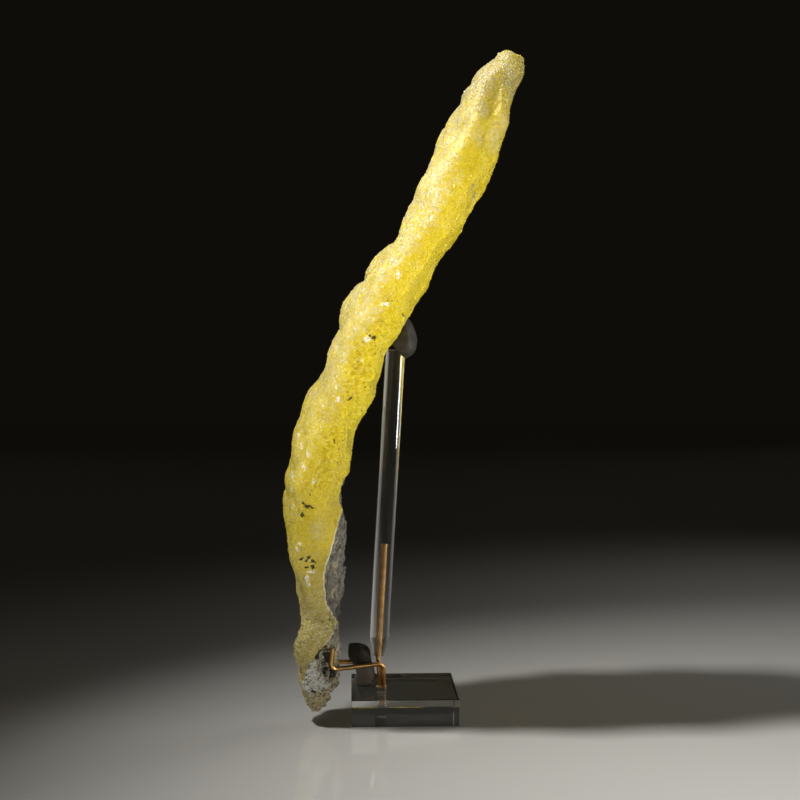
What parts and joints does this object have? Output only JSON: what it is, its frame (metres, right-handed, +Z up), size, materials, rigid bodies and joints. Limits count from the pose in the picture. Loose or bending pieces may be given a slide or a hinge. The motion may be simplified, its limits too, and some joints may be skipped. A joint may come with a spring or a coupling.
{
  "type": "brucite specimen on display stand",
  "caption": "Leaf-shaped plate of lumpy yellow brucite over grey matrix, leaning on a clear rod and held by bent wire prongs on a clear block.",
  "frame": {"origin": "centre of the clear block's underside", "axes": "+Z up, +X the side that the plate leans to, -Y the plate's near edge, the view of the picture"},
  "size_m": [0.1171, 0.0912, 0.318],
  "materials": {
    "brucite": "waxy, finely grained crust",
    "clear_block": "polished clear acrylic",
    "clear_rod": "polished clear acrylic",
    "copper_wire": "bright drawn copper",
    "putty": "matte, hand-pressed"
  },
  "bodies": {
    "root": {"brucite": "brucite", "base_block": "clear_block", "support_rod": "clear_rod", "rod_pin": "copper_wire", "front_prong": "copper_wire", "rear_prong": "copper_wire", "rod_pad": "putty", "prong_putty": "putty"}
  },
  "joints": []
}
